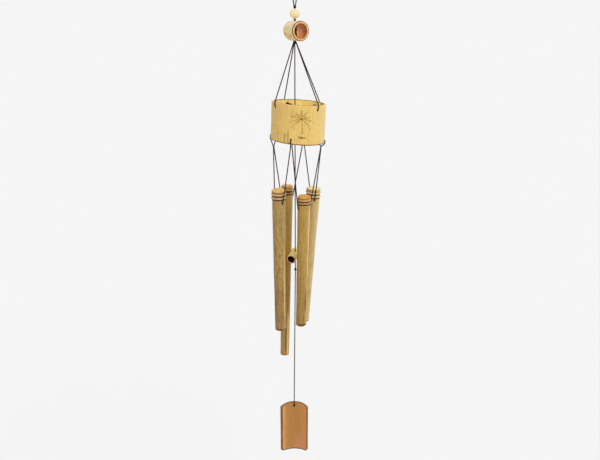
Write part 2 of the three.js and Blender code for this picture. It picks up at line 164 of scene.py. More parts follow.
STRIKER = dict(centre=(-2.5, -0.3, -414), yaw=-17, dip=8.5, length=28.5, radius=7.2, wall=1.6)
STRIKER_SEPTUM = 3
STRIKER_INNER_KNOT_RADIUS = 2
STRIKER_KNOT_Z = -437.8
STRIKER_KNOT_RADIUS = 2.1
ACROSS_UNEVENNESS = 0.35

SAIL_X = -2.5
SAIL_TOP = -681.6
SAIL_HEIGHT = 92.2
SAIL_RADIUS = 40
SAIL_WALL = 5.5
SAIL_WIDTH = 47.5
SAIL_CROWN = 6
SAIL_BOTTOM_CORNER = 1.2
SAIL_DARK_FOOT = 2.2
SAIL_EDGE = 0.5
SAIL_COLUMNS = 44
SAIL_HOLE_Z = SAIL_TOP - 4.6
SAIL_HITCH_Z = SAIL_TOP + 4
SAIL_HITCH_TURN_RADIUS = 1.5
SAIL_KNOT_RADIUS = 2

BEAD_STEPS = 26
BEAD_SEGMENTS = 48
ACROSS_SEGMENTS = 72
ACROSS_STEP = 1.2
RING_SEGMENTS = 160
RING_STEP = 1.6
TUBE_SEGMENTS = 64
KNOT_STEP = 0.32
SHARP_ANGLE = 38
HOLE_SIDES = 24

# Painted light and shade round every cane: the skin leans from the cane's own colour towards lit
# straw, or towards shade brown where the share is negative: pairs of turn and share, where turn 0.5
# faces the front. The right side, near turn 0.7, is painted highlight; the left side painted shade.
PAINTED_LIGHT_STRAW = "f8dea4"
# The same brown also darkens some tubes' feet, through their foot lean.
SHADE_AND_FOOT_BROWN = "5c3614"
PAINTED_LIGHT_AND_SHADE_AROUND = ((0.0, 0.05), (0.27, -0.15), (0.42, -0.05), (0.58, 0.08), (0.7, 0.45), (1.0, 0.05))
GLEAM = "fff0c0"
SPECK = "4a3215"


# ---- Shaders ----

class Shader:
    """A material whose nodes are added one call at a time."""

    def __init__(self, name, **constants):
        self.material = bpy.data.materials.new(name)
        self.material.use_nodes = True
        self.tree = self.material.node_tree
        self.surface = self.tree.nodes["Principled BSDF"]
        for socket, value in constants.items():
            self.surface.inputs[socket.replace("_", " ")].default_value = value

    def node(self, kind, inputs=None, **settings):
        made = self.tree.nodes.new(kind)
        for key, value in settings.items():
            setattr(made, key, value)
        for socket, value in (inputs or {}).items():
            if isinstance(value, bpy.types.NodeSocket):
                self.tree.links.new(value, made.inputs[socket])
            else:
                made.inputs[socket].default_value = value
        return made

    def place(self, scale=(1, 1, 1)):
        """The surface's place on the straight piece, in millimetres, stretched by scale."""
        grain = self.node("ShaderNodeAttribute", attribute_name="grain")
        scaled = self.node(
            "ShaderNodeVectorMath", {0: grain.outputs["Vector"], 1: scale}, operation="MULTIPLY")
        return scaled.outputs[0]

    def axes(self):
        """The place's three numbers: to the right, to the rear and along the cane."""
        return self.node("ShaderNodeSeparateXYZ", {0: self.place()}).outputs

    def noise(self, scale, detail=2, roughness=0.5):
        made = self.node("ShaderNodeTexNoise", {
            "Vector": self.place(scale), "Scale": 1.0, "Detail": detail, "Roughness": roughness})
        return made.outputs[0]

    def math(self, operation, a, b=0.0):
        return self.node("ShaderNodeMath", {0: a, 1: b}, operation=operation).outputs[0]

    def wobbled(self, value, pattern, amount):
        """Value moved by up to half the amount either way, where a pattern is above or below 0.5."""
        shift = self.math("MULTIPLY", self.math("SUBTRACT", pattern, 0.5), amount)
        return self.math("ADD", value, shift)

    def between(self, value, low, high, out_low=0.0, out_high=1.0):
        """Value's smooth rise from low to high, as a number from out_low to out_high."""
        made = self.node("ShaderNodeMapRange", {
            "Value": value, "From Min": low, "From Max": high,
            "To Min": out_low, "To Max": out_high}, interpolation_type="SMOOTHSTEP")
        return made.outputs[0]

    def band(self, value, centre, width, softness):
        """1 where value is within half the width of centre, fading out over the softness."""
        away = self.math("ABSOLUTE", self.math("SUBTRACT", value, centre))
        return self.between(away, width / 2 + softness, width / 2)

    def mix(self, share, a, b, blend="MIX"):
        made = self.node(
            "ShaderNodeMix", {0: share, 6: a, 7: b}, data_type="RGBA", blend_type=blend)
        return made.outputs[2]

    def tint(self, colour, pattern, low, high, share, code, blend="MIX"):
        """Lays a hex colour over the colour, by up to share as the pattern goes from low to high."""
        return self.mix(self.between(pattern, low, high, 0, share), colour, rgb(code), blend)

    def ramp(self, value, stops):
        made = self.node("ShaderNodeValToRGB", {0: value})
        elements = made.color_ramp.elements
        while len(elements) < len(stops):
            elements.new(0.5)
        for element, (position, code) in zip(elements, stops):
            element.position = position
            element.color = rgb(code)
        return made.outputs[0]

    def bump(self, height, strength, distance, under=None):
        inputs = {"Height": height, "Strength": strength, "Distance": distance}
        if under is not None:
            inputs["Normal"] = under
        return self.node("ShaderNodeBump", inputs).outputs[0]

    def finish(self, colour, roughness, normal=None):
        """Links the surface's own sockets and gives the material."""
        for socket, value in (("Base Color", colour), ("Roughness", roughness), ("Normal", normal)):
            if value is not None:
                self.tree.links.new(value, self.surface.inputs[socket])
        return self.material


def rgb(code):
    """A linear colour from a six-digit sRGB hex code."""
    channels = [int(code[i:i + 2], 16) / 255 for i in (0, 2, 4)]
    linear = [c / 12.92 if c <= 0.04045 else ((c + 0.055) / 1.055) ** 2.4 for c in channels]
    return (*linear, 1.0)


def lit_or_darkened(code, share):
    """A hex colour moved by share towards the straw of the painted light, or by -share towards the
    brown of the painted shade and of the darker tube feet.
    """
    towards = PAINTED_LIGHT_STRAW if share > 0 else SHADE_AND_FOOT_BROWN
    pairs = [(int(code[i:i + 2], 16), int(towards[i:i + 2], 16)) for i in (0, 2, 4)]
    return "".join(f"{round(a + (b - a) * abs(share)):02x}" for a, b in pairs)


def lit_and_shaded_round_cane(code, lean=0.0):
    """The stops for skin round a cane of one colour, with its painted light and shade, all of them
    moved by lean as well.
    """
    return [(turn, lit_or_darkened(code, share + lean)) for turn, share in PAINTED_LIGHT_AND_SHADE_AROUND]


def skin(name, around, foot=(), streak="6b4a1e", blotch="7a5526", blotchiness=0.35,
         mottling=0.15, marks=(), bands=()):
    """Bamboo skin. around and foot hold (turn, hex) stops, where turn 0.5 faces the front; the
    colour changes from the one to the other over FOOT_FALL's depths. Marks are (turn, height,
    turn width, height width, hex, strength) and bands are (height, width, hex, strength)."""
    s = Shader(name, Coat_Weight=0.05, Coat_Roughness=0.3, Specular_IOR_Level=0.35)
    x, y, height = s.axes()
    turn = s.math("ARCTAN2", x, s.math("MULTIPLY", y, -1.0))
    turn = s.math("ADD", s.math("DIVIDE", turn, 2 * math.pi), 0.5)
    turn = s.wobbled(turn, s.noise((0.1, 0.1, 0.012), 3), 0.07)

    colour = s.ramp(turn, around)
    if foot:
        start, end = FOOT_FALL
        colour = s.mix(s.between(height, -start, -end), colour, s.ramp(turn, foot))
    broad = s.noise((0.55, 0.55, 0.014), 3, 0.6)
    fine = s.noise((2.6, 2.6, 0.045), 3, 0.65)
    cloud = s.noise((0.11, 0.11, 0.035), 4, 0.62)
    mottle = s.noise((0.38, 0.38, 0.12), 4, 0.68)
    for layer in (
            (broad, 0.5, 0.78, 0.42, streak, "MULTIPLY"),
            (fine, 0.46, 0.72, 0.34, streak, "MULTIPLY"),
            (fine, 0.5, 0.28, 0.3, GLEAM, "SOFT_LIGHT"),
            (cloud, 0.52, 0.74, blotchiness, blotch),
            (mottle, 0.5, 0.68, mottling, blotch, "MULTIPLY"),
            (mottle, 0.5, 0.34, mottling, GLEAM, "SOFT_LIGHT"),
            (s.noise((1.1, 1.1, 0.6), 1), 0.72, 0.8, 0.6, SPECK)):
        colour = s.tint(colour, *layer)
    ragged = s.noise((0.7, 0.7, 0.25), 3)
    for at, level, turn_width, height_width, code, strength in marks:
        across = s.band(turn, at, turn_width, turn_width * 0.5)
        edge = s.wobbled(height, ragged, 1.6)
        along = s.band(edge, level, height_width, height_width * 0.25)
        share = s.math("MULTIPLY", s.math("MULTIPLY", across, along), strength)
        colour = s.mix(share, colour, rgb(code))
    for level, width, code, strength in bands:
        edge = s.wobbled(height, ragged, 0.4)
        share = s.math("MULTIPLY", s.band(edge, level, width, width * 0.6), strength)
        colour = s.mix(share, colour, rgb(code))

    normal = s.bump(cloud, 0.15, 0.0004, s.bump(fine, 0.25, 0.00012))
    return s.finish(colour, s.between(broad, 0.3, 0.7, 0.35, 0.54), normal)


def end_grain(name, pith, rind, dots="5e3b1a"):
    """Sawn bamboo: dark vascular bundles in paler pith, with saw marks across."""
    s = Shader(name, Specular_IOR_Level=0.3)
    bundles = s.node("ShaderNodeTexVoronoi", {
        "Vector": s.place((1, 1, 0.08)), "Scale": 1.15, "Randomness": 0.9})
    tone = s.noise((0.35, 0.35, 0.2), 3)
    saw = s.noise((4.5, 0.4, 3))
    colour = s.mix(s.between(tone, 0.3, 0.7), rgb(pith), rgb(rind))
    colour = s.tint(colour, bundles.outputs[0], 0.42, 0.2, 0.6, dots)
    colour = s.tint(colour, saw, 0.45, 0.75, 0.35, dots, "MULTIPLY")
    return s.finish(colour, s.between(tone, 0.2, 0.8, 0.6, 0.8), s.bump(saw, 0.5, 0.0002))


def patchy_brown_and_shade(name, pale, dark):
    """Patchy colour between a pale and a dark one: the palm's burnt lines, browned edges, and the
    painted shade on rims, edges and in holes.
    """
    s = Shader(name, Specular_IOR_Level=0.25)
    patches = s.noise((0.22, 0.22, 0.3), 3)
    colour = s.mix(s.between(patches, 0.62, 0.5), rgb(pale), rgb(dark))
    return s.finish(colour, s.between(patches, 0, 1, 0.6, 0.8))


def septum_face(name, fresh, browned, torn, shadow):
    """A node's wall seen from inside the cane: browned at its foot, torn, and with a painted shadow
    to one side.
    """
    s = Shader(name, Specular_IOR_Level=0.2)
    x, y, _ = s.axes()
    cloud = s.noise((0.3, 0.3, 0.3), 3)
    across = s.math("ADD", x, s.math("MULTIPLY", cloud, 3.0))
    low = s.math("ADD", y, s.math("MULTIPLY", cloud, 4.0))
    colour = s.mix(s.between(low, 4.5, 7.0), rgb(fresh), rgb(browned))
    wedge = s.math("MULTIPLY", s.band(across, 0.4, 1.4, 0.8), s.between(low, 1.0, 3.0, 0, 0.85))
    colour = s.mix(wedge, colour, rgb(torn))
    # Painted shadow: the septum's left side is darkened, next to the near wall.
    colour = s.tint(colour, across, -0.4, -1.6, 1, shadow)
    return s.finish(colour, s.between(cloud, 0, 1, 0.7, 0.9), s.bump(cloud, 0.4, 0.0005))


def split_face(name, around, blush, dark):
    """The hollow side of a split cane: stops run from its left edge to its right one, and the
    right foot has a blush."""
    s = Shader(name, Specular_IOR_Level=0.25)
    x, _, height = s.axes()
    wander = s.noise((0.08, 0.08, 0.02))
    fibres = s.noise((1.6, 1.6, 0.03), 3, 0.6)
    share = s.wobbled(s.math("ADD", s.math("DIVIDE", x, SAIL_WIDTH), 0.5), wander, 0.08)
    low = s.between(s.math("ADD", height, s.math("MULTIPLY", wander, 20)), 50, 22)
    blushing = s.math("MULTIPLY", low, s.between(share, 0.3, 0.62, 0, 0.5))
    colour = s.mix(blushing, s.ramp(share, around), rgb(blush))
    colour = s.tint(colour, fibres, 0.45, 0.75, 0.3, dark, "MULTIPLY")
    return s.finish(colour, s.between(fibres, 0, 1, 0.55, 0.75), s.bump(fibres, 0.4, 0.0002))


def inner_wall(name, light, dark):
    """The bore of a cane: soft, fibrous and dull."""
    s = Shader(name, Specular_IOR_Level=0.2)
    fibres = s.noise((1.1, 1.1, 0.06), 4, 0.65)
    patches = s.noise((0.2, 0.2, 0.08), 3)
    colour = s.mix(s.between(fibres, 0.3, 0.7), rgb(light), rgb(dark))
    colour = s.tint(colour, patches, 0.45, 0.7, 0.5, dark, "MULTIPLY")
    return s.finish(colour, s.between(patches, 0, 1, 0.75, 0.9), s.bump(fibres, 0.5, 0.0003))


def twine(name, light, dark):
    """Spun cord: each of its three yarns is made of fine fibres that run along it."""
    s = Shader(name, Specular_IOR_Level=0.15)
    fibres = s.noise((3.2, 3.2, 0.35), 3, 0.7)
    wear = s.noise((0.2, 0.2, 0.2), 3)
    colour = s.mix(s.between(fibres, 0.3, 0.7), rgb(dark), rgb(light))
    colour = s.tint(colour, wear, 0.5, 0.8, 0.3, "4d3d38")
    return s.finish(colour, s.between(wear, 0, 1, 0.72, 0.9), s.bump(fibres, 0.7, 0.00015))


def turned_wood(name, light, dark):
    """Pale close-grained wood with faint growth rings."""
    s = Shader(name, Coat_Weight=0.1, Coat_Roughness=0.3)
    warp = s.noise((0.25, 0.25, 0.08), 3)
    rings = s.node("ShaderNodeTexWave", {
        "Vector": s.place((1, 0.5, 0.18)), "Scale": 0.34, "Distortion": 2.2, "Detail": 3,
        "Detail Scale": 1.2}, wave_type="RINGS")
    pores = s.noise((4, 4, 0.5))
    colour = s.mix(s.between(rings.outputs[1], 0.2, 0.9, 0, 0.55), rgb(light), rgb(dark))
    colour = s.tint(colour, pores, 0.55, 0.75, 0.4, dark, "MULTIPLY")
    return s.finish(colour, s.between(warp, 0.2, 0.8, 0.35, 0.5), s.bump(pores, 0.25, 0.0001))


# ---- Meshes ----

# What each face shows, as the number of its material on a cane
SKIN, CUT, BORE, EDGE, HOLE, SEPTUM = range(6)


def in_scene(name, data):
    obj = bpy.data.objects.new(name, data)
    bpy.context.scene.collection.objects.link(obj)
    return obj


def turn_angles(count):
    return [2 * math.pi * k / count for k in range(count)]


def about_z(radius, angle, height):
    """A point round Z; the angle is 0 at the front and grows to the right."""
    return Vector((radius * math.sin(angle), -radius * math.cos(angle), height))


def piece(name, points, faces, body, materials, zones=None, place=None, replaced=()):
    """A smooth object from points in millimetres, riding on its CAD body.

    zones gives each face its material, and place takes the grain's straight frame to the row's.
    """
    mesh = bpy.data.meshes.new(name)
    mesh.from_pydata([tuple(Vector(p) * MM) for p in points], [], faces)
    for material in materials:
        mesh.materials.append(material)
    if zones is not None:
        mesh.polygons.foreach_set("material_index", zones)
    obj = in_scene(name, mesh)
    dress(obj, place or Matrix())
    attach(obj, body)
    if replaced:
        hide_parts(*replaced)
    return obj


def dress(obj, place):
    """Smooth shading, and the grain attribute that the shaders read."""
    mesh = obj.data
    mesh.polygons.foreach_set("use_smooth", [True] * len(mesh.polygons))
    mesh.set_sharp_from_angle(angle=math.radians(SHARP_ANGLE))
    places = np.empty(len(mesh.vertices) * 3, dtype=np.float32)
    mesh.vertices.foreach_get("co", places)
    back = np.array(place.inverted())
    places = places.reshape(-1, 3) / MM @ back[:3, :3].T + back[:3, 3]
    grain = mesh.attributes.get("grain") or mesh.attributes.new("grain", "FLOAT_VECTOR", "POINT")
    grain.data.foreach_set("vector", places.astype(np.float32).ravel())


def revolved(profile, segments, closed=False):
    """Rings of points about Z from (radius, height, zone) rows, with a zone for each face.

    A row at radius 0 is a single point. zone is that of the faces from this row to the next.
    """
    points, rows = [], []
    for radius, height, _ in profile:
        if radius < 1e-6:
            rows.append([len(points)] * segments)
            points.append(Vector((0, 0, height)))
        else:
            rows.append(list(range(len(points), len(points) + segments)))
            points += [about_z(radius, angle, height) for angle in turn_angles(segments)]
    faces, zones = [], []
    count = len(rows) if closed else len(rows) - 1
    for i in range(count):
        here, there = rows[i], rows[(i + 1) % len(rows)]
        for k in range(segments):
            corners = [here[k], here[(k + 1) % segments], there[(k + 1) % segments], there[k]]
            corners = list(dict.fromkeys(corners))
            if len(corners) > 2:
                faces.append(corners)
                zones.append(profile[i][2])
    return points, faces, zones


def drill(obj, pins, place):
    """Cuts round holes, each given as (start, end, diameter)."""
    sides = HOLE_SIDES
    points, faces = [], []
    for start, end, diameter in pins:
        along = (end - start).normalized()
        across = along.orthogonal().normalized()
        other = along.cross(across)
        base = len(points)
        for at in (start, end):
            for angle in turn_angles(sides):
                out = across * math.cos(angle) + other * math.sin(angle)
                points.append((at + out * diameter / 2) * MM)
        for k in range(sides):
            n = (k + 1) % sides
            faces.append([base + k, base + n, base + sides + n, base + sides + k])
        faces.append([base + k for k in reversed(range(sides))])
        faces.append([base + sides + k for k in range(sides)])
    mesh = bpy.data.meshes.new("cutter")
    mesh.from_pydata([tuple(p) for p in points], [], faces)
    for material in obj.data.materials:
        mesh.materials.append(material)
    mesh.polygons.foreach_set("material_index", [HOLE] * len(faces))
    cutter = in_scene("cutter", mesh)
    cut = obj.modifiers.new("holes", "BOOLEAN")
    cut.object = cutter
    cut.solver = "EXACT"
    cut.material_mode = "INDEX"
    bpy.context.view_layer.update()
    drilled = bpy.data.meshes.new_from_object(
        obj.evaluated_get(bpy.context.evaluated_depsgraph_get()))
    obj.modifiers.clear()
    obj.data = drilled
    drilled.name = obj.name
    bpy.data.objects.remove(cutter)
    dress(obj, place)


# ---- Cords and knots ----

def route(corners, step=CORD_STEP):
    """Evenly spaced points along the corners, with each inner corner rounded to the tightest bend."""
    corners = [Vector(c) for c in corners]
    dense = [corners[0]]
    for before, corner, after in zip(corners, corners[1:], corners[2:]):
        into, out = before - corner, after - corner
        half = into.angle(out) / 2
        reach = min(TIGHTEST_BEND / math.tan(half), into.length * 0.49, out.length * 0.49)
        start, end = corner + into.normalized() * reach, corner + out.normalized() * reach
        toward = into.normalized() + out.normalized()
        if toward.length < 1e-4:
            continue
        centre = corner + toward.normalized() * (reach / math.cos(half))
        arm_in, arm_out = start - centre, end - centre
        turns = max(3, int(math.degrees(math.pi - 2 * half) / 8))
        for k in range(turns + 1):
            dense.append(centre + arm_in.slerp(arm_out, k / turns) * arm_in.length)
    dense.append(corners[-1])
    return evenly(dense, step)


def evenly(dense, step):
    """Points spaced evenly, about a step apart, along a line through dense ones."""
    points = np.array([tuple(p) for p in dense])
    lengths = np.concatenate([[0], np.cumsum(np.linalg.norm(np.diff(points, axis=0), axis=1))])
    count = max(4, round(lengths[-1] / step))
    at = np.linspace(0, lengths[-1], count + 1)
    return np.stack([np.interp(at, lengths, points[:, k]) for k in range(3)], axis=1)


def smooth_curve(controls, per_span=12):
    """Catmull-Rom points through the controls."""
    ends = [controls[0] * 2 - controls[1], *controls, controls[-1] * 2 - controls[-2]]
    dense = []
    for a, b, c, d in zip(ends, ends[1:], ends[2:], ends[3:]):
        for k in range(per_span):
            t = k / per_span
            dense.append(0.5 * (2 * b + (c - a) * t + (2 * a - 5 * b + 4 * c - d) * t * t
                                + (3 * b - a - 3 * c + d) * t ** 3))
    dense.append(controls[-1])
    return dense


def path_length(path):
    return float(np.linalg.norm(np.diff(path, axis=0), axis=1).sum())


def spun(path, radius, phase=0.0):
    """A closed skin round a path, whose section is three yarns that twist as they go."""
    angles = turn_angles(YARNS * YARN_POINTS)
    sides, count = len(angles), len(path)
    tangents = np.gradient(path, axis=0)
    tangents /= np.linalg.norm(tangents, axis=1)[:, None]
    tangents = [Vector(tangent) for tangent in tangents]
    normals = [tangents[0].orthogonal().normalized()]
    for before, after in zip(tangents, tangents[1:]):
        normals.append(before.rotation_difference(after) @ normals[-1])
    length = path_length(path)
    twist = 2 * math.pi * length / LAY_LENGTH
    points, faces, grain = [], [], []
    for k, (tangent, normal) in enumerate(zip(tangents, normals)):
        across = tangent.cross(normal)
        lay = phase + twist * k / count
        for angle in angles:
            reach = radius * (1 - YARN_VALLEY * (1 - abs(math.cos(YARNS * angle / 2))))
            out = normal * math.cos(angle + lay) + across * math.sin(angle + lay)
            points.append(Vector(path[k]) + out * reach)
            grain.append((reach * math.cos(angle), reach * math.sin(angle), k * length / count))
    for here in range(0, (count - 1) * sides, sides):
        for side in range(sides):
            n = (side + 1) % sides
            faces.append([here + side, here + n, here + sides + n, here + sides + side])
    for end, outward, ring, flip in ((path[0], -tangents[0], 0, True),
                                     (path[-1], tangents[-1], (count - 1) * sides, False)):
        tip = len(points)
        points.append(Vector(end) + outward * radius * 0.35)
        grain.append((0, 0, 0))
        for side in range(sides):
            pair = [ring + side, ring + (side + 1) % sides]
            faces.append([*(reversed(pair) if flip else pair), tip])
    return points, faces, grain


def spun_piece(name, path, body, material, replaced, radius, phase=0.0):
    """A piece spun round a path, with its grain along it."""
    points, faces, grain = spun(path, radius, phase)
    obj = piece(name, points, faces, body, [material], replaced=replaced)
    obj.data.attributes["grain"].data.foreach_set(
        "vector", np.array(grain, dtype=np.float32).ravel())
    return obj


def cord_piece(name, path, body, replaced=(), radius=CORD / 2):
    return spun_piece(name, path, body, CORD_TWINE, replaced, radius,
                      RANDOM.uniform(0, 6))


def free_cord(name, path, body, node):
    """A cord in place of its CAD node, with no knot of its own."""
    cord_piece(name, path, body, [node])


# A tight overhand knot: rows of reach (share of the radius), angle in turns, and height
KNOT_ROUTE = [
    (0.0, 0.0, -1.0), (0.55, 0.15, -0.85), (0.95, 0.5, -0.6), (1.0, 1.0, -0.2), (1.0, 1.5, 0.15),
    (1.0, 2.0, 0.5), (1.0, 2.35, 0.72), (1.3, 2.65, 0.35), (1.38, 2.9, -0.15), (1.2, 3.12, -0.6),
    (0.7, 3.3, -0.85), (0.0, 3.4, -0.7),
]
KNOT_REACH = max(reach for reach, _, _ in KNOT_ROUTE)


def knot_piece(node, centre, radius, body, axis=(0, 0, 1), turn=0.0):
    """An overhand knot pulled tight, in place of the CAD node's ball."""
    thickness = CORD * 0.47
    core = (radius - thickness) / KNOT_REACH
    tall = radius - thickness * 0.6
    upright = Vector((0, 0, 1)).rotation_difference(Vector(axis)).to_matrix()
    path = []
    for reach, turns, height in smooth_curve([Vector(row) for row in KNOT_ROUTE], 9):
        angle = 2 * math.pi * (turns + turn)
        local = Vector((
            core * reach * math.cos(angle), core * reach * math.sin(angle), tall * height))
        path.append(Vector(centre) + upright @ local)
    return spun_piece(f"{node}_tied", evenly(path, KNOT_STEP), body, SHADED_KNOT_TWINE, (node,),
                      thickness)


# ---- Where things are ----

RING_PLACE = Matrix.Translation(RING_CENTRE) @ Matrix.Rotation(math.radians(RING_ROLL), 4, "Y")


def ring_point(azimuth, radius, height):
    """A point by the ring; azimuth is in degrees from the front, positive to the right."""
    return RING_PLACE @ about_z(radius, math.radians(azimuth), height)


def top_rim(azimuth):
    return RING_HEIGHT / 2 - RING_TOP_SLOPE * RING_RADIUS * math.sin(math.radians(azimuth))


def bottom_rim(azimuth):
    return -RING_HEIGHT / 2 - RING_BOTTOM_SLOPE * RING_RADIUS * math.sin(math.radians(azimuth))


def crossing(name):
    """Where the two legs of a lower hole's cord loop cross, under the rim."""
    azimuth, _, drop = LOWER_HOLES[name]
    return ring_point(azimuth, RING_RADIUS - RING_WALL / 2, bottom_rim(azimuth) - drop)


def layout(tube):
    """A tube's axis, its cord holes and the tops of its two strands."""
    top, bottom = Vector(tube["top"]), Vector(tube["bottom"])
    down = (bottom - top).normalized()
    left, right = (crossing(name) for name in tube["holes"])
    across = Vector((right.x - left.x, right.y - left.y, 0)).normalized()
    drop = Vector((0, 0, -STRAND_TOP_DROP))
    turned = Matrix.Rotation(math.radians(tube["hole_turn"]), 3, "Z") @ across
    hole_axis = (turned - down * turned.dot(down)).normalized()
    return dict(
        top=top, bottom=bottom, down=down, hole_axis=hole_axis,
        hole_centre=top + down * tube["hole_depth"],
        strand_tops=(left + across * STRAND_TOP_SPREAD + drop,
                     right - across * STRAND_TOP_SPREAD + drop))


LAYOUTS = {name: layout(tube) for name, tube in TUBES.items()}


# ---- Camera, light and floor ----

def add_stage():
    floor = bpy.data.meshes.new("floor")
    reach = FLOOR_REACH
    corners = [(-reach, -reach), (reach, -reach), (reach, reach), (-reach, reach)]
    floor.from_pydata([(x, y, FLOOR_LEVEL) for x, y in corners], [], [(0, 1, 2, 3)])
    paint = Shader("floor_paint", Base_Color=(FLOOR_GREY, FLOOR_GREY, FLOOR_GREY, 1),
                   Roughness=1.0, Specular_IOR_Level=0.0)
    floor.materials.append(paint.material)
    in_scene("floor", floor)

    world = bpy.data.worlds.new("studio")
    world.use_nodes = True
    nodes, links = world.node_tree.nodes, world.node_tree.links
    background = nodes["Background"]
    background.inputs["Color"].default_value = (SKY_GREY, SKY_GREY, SKY_GREY, 1)
    seen = nodes.new("ShaderNodeLightPath").outputs["Is Camera Ray"]
    strength = nodes.new("ShaderNodeMapRange")
    strength.inputs["To Min"].default_value = SKY_LIGHT
    strength.inputs["To Max"].default_value = 1.0
    links.new(seen, strength.inputs["Value"])
    links.new(strength.outputs[0], background.inputs["Strength"])
    bpy.context.scene.world = world
    bpy.context.scene.view_settings.view_transform = "Standard"


def add_lights():
    for name, elevation, azimuth, power, spread in SUNS:
        sun = bpy.data.lights.new(name, "SUN")
        sun.energy = power
        sun.angle = math.radians(spread)
        lamp = in_scene(name, sun)
        raised = math.radians(elevation)
        toward = about_z(math.cos(raised), math.radians(azimuth), math.sin(raised))
        lamp.rotation_mode = "QUATERNION"
        lamp.rotation_quaternion = toward.to_track_quat("Z", "Y")


def add_camera():
    """Level with the bead and nearly a metre in front, tilted down to take in the sail."""
    camera = bpy.data.cameras.new("camera")
    camera.sensor_width = CAMERA_SENSOR
    camera.lens = CAMERA_LENS
    obj = in_scene("camera", camera)
    obj.location = Vector(CAMERA_AT) * MM
    down, right = math.radians(CAMERA_DOWN), math.radians(CAMERA_RIGHT)
    obj.rotation_euler = (math.pi / 2 - down, 0, -right)
    bpy.context.scene.camera = obj


# ---- Hang loop, bead and toggle ----

def add_hang_loop():
    half = [Vector((x, 0, z)) for x, z in LOOP_SIDE]
    left = [Vector((-p.x, 0, p.z)) for p in reversed(half)]
    controls = [Vector((0.5, 0, LOOP_KNOT_Z)), *half, Vector((0, 0, CORD / 2)), *left,
                Vector((-0.5, 0, LOOP_KNOT_Z))]
    path = evenly(smooth_curve(controls), CORD_STEP)
    free_cord("hang_loop_cord", path, "hang_loop", "hang_loop")
    knot_piece("loop_knot", (0, 0, LOOP_KNOT_Z), LOOP_KNOT_RADIUS, "loop_knot")


def add_bead():
    start = math.asin(BEAD_BORE_RADIUS / BEAD_RADIUS)
    profile = []
    for k in range(BEAD_STEPS + 1):
        angle = start + (math.pi - 2 * start) * k / BEAD_STEPS
        swell = 1 - 0.012 * math.cos(4 * angle)
        profile.append((
            BEAD_RADIUS * math.sin(angle) * swell, BEAD_HALF_HEIGHT * math.cos(angle), SKIN))
    radius, height, _ = profile[0]
    for z in (height - 0.7, 0, -height + 0.7):
        profile.append((radius - 0.25, z, CUT))
    points, faces, zones = revolved(profile[::-1], BEAD_SEGMENTS, closed=True)
    upright = Matrix.Translation((0, 0, BEAD_Z))
    place = upright @ Matrix.Rotation(math.radians(BEAD_GRAIN_TILT), 4, "X")
    for p in points:
        p += Vector((p.x, p.y, 0)) * 0.02 * noise.noise(p * 0.15)
    piece("bead_turned", [upright @ p for p in points], faces, "bead",
          [BEAD_WOOD, BEAD_WOOD], zones, place, ["bead"])


def add_stem():
    path = route([(0, 0, LOOP_KNOT_Z + 0.5), (0, 0, SUSPENSION_KNOT_Z - 0.5)])
    stem = cord_piece("stem_twine", path, "stem", ["stem_cord"])
    under = knot_piece("bead_knot", (0, 0, BEAD_KNOT_Z), BEAD_KNOT_RADIUS, "stem")


# ---- Canes that lie across a cord: toggle and striker ----

def across_place(spec):
    """The straight frame of a cane lying across its cord; its height axis runs to the rear."""
    turn = Matrix.Rotation(math.radians(spec["yaw"]), 4, "Z")
    turn = turn @ Matrix.Rotation(math.radians(spec["dip"]), 4, "X")
    return Matrix.Translation(spec["centre"]) @ turn @ Matrix.Rotation(-math.pi / 2, 4, "X")


def stepped(rows, step):
    """The same outline with long runs split, so that the surface can undulate."""
    made = []
    for (r0, z0, zone), (r1, z1, _) in zip(rows, rows[1:]):
        count = max(1, int(math.hypot(r1 - r0, z1 - z0) / step))
        made += [(r0 + (r1 - r0) * k / count, z0 + (z1 - z0) * k / count, zone)
                 for k in range(count)]
    made.append(rows[-1])
    return made


def uneven(points, amount, seed, radius):
    """Gives a cane the slight flats and lengthwise waves of a grown one."""
    offset = Vector((seed * 7.3, seed * 3.1, seed))
    for p in points:
        r = math.hypot(p.x, p.y)
        if r < 1e-6:
            continue
        at = Vector((p.x / r * 1.1, p.y / r * 1.1, p.z * 0.02)) + offset
        fine = Vector((p.x / r * 4.2, p.y / r * 4.2, p.z * 0.05)) + offset
        grow = 1 + (noise.noise(at) * amount + noise.noise(fine) * amount * 0.25) / radius
        p.x *= grow
        p.y *= grow


def across_cane(name, spec, rows, lower_hole, body, materials, seed, replaced):
    points, faces, zones = revolved(stepped(rows, ACROSS_STEP), ACROSS_SEGMENTS,
                                     closed=rows[0][0] > 0)
    uneven(points, ACROSS_UNEVENNESS, seed, spec["radius"])
    place = across_place(spec)
    obj = piece(name, [place @ p for p in points], faces, body, materials, zones, place,
                replaced)
    centre = Vector(spec["centre"])
    below, middle, above = (
        Vector((0, 0, centre.z + side * 2 * spec["radius"])) for side in (-1, 0, 1))
    drill(obj, [(middle, above, CORD_HOLE), (below, middle, lower_hole)], place)
    return obj


def add_toggle():
    spec = TOGGLE
    half, radius = spec["length"] / 2, spec["radius"]
    bore = radius - spec["wall"]
    septum_front = -half + TOGGLE_MOUTH_DEPTH
    septum_rear = septum_front + TOGGLE_SEPTUM
    rows = [
        (0, septum_front, SEPTUM), (bore - 1.5, septum_front, BORE),
        (bore, septum_front - 1.5, BORE), (bore + 0.1, -half + 0.5, EDGE),
        (bore + 0.7, -half, CUT), (radius - 0.9, -half, EDGE), (radius - 0.3, -half + 0.2, EDGE),
        (radius, -half + 0.9, SKIN), (radius - 0.2, half - 0.6, SKIN),
        (radius - 0.7, half, CUT), (bore + 0.5, half, CUT), (bore, half - 0.5, BORE),
        (bore, septum_rear + 1.5, BORE), (bore - 1.5, septum_rear, BORE), (0, septum_rear, BORE),
    ]
    across_cane("toggle_cane", spec, rows, TOGGLE_LOWER_HOLE, "toggle",
                [TOGGLE_SKIN, TOGGLE_CUT, TOGGLE_BORE, BROWNED_AND_SHADED_EDGE, SHADED_HOLE, TOGGLE_SEPTUM_FACE],
                3, ["toggle"])


